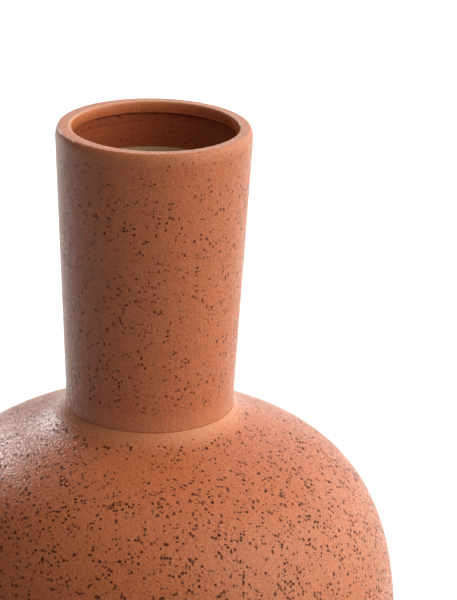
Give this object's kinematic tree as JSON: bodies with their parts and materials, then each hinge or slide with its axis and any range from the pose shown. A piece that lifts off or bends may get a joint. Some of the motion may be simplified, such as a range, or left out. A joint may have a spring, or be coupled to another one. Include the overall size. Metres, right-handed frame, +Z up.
{
  "type": "ceramic bottle vase",
  "caption": "Round-bellied ceramic vase with a wide tapering neck, a flared collar, a rounded lip, a cream-glazed inside and a turned foot ring.",
  "frame": {"origin": "centre of the foot ring's resting face", "axes": "+Z up along the vase's turning axis, out of the mouth; the vase is round, so +X and +Y are any two level directions"},
  "size_m": [0.145, 0.145, 0.215],
  "materials": {
    "terracotta_glaze": "satin-matte terracotta glaze with dark brown iron speckles",
    "collar_glaze": "satin peach-terracotta glaze without speckles",
    "cream_glaze": "satin cream liner glaze",
    "bare_clay": "unglazed, fine-sanded buff clay"
  },
  "bodies": {
    "root": {"lip_ring": "terracotta_glaze", "neck_tube": "terracotta_glaze", "neck_collar": "collar_glaze", "shoulder_shell": "terracotta_glaze", "belly_bowl": "terracotta_glaze", "foot_ring": "bare_clay", "neck_liner_glaze": "cream_glaze", "belly_liner_glaze": "cream_glaze"}
  },
  "joints": []
}
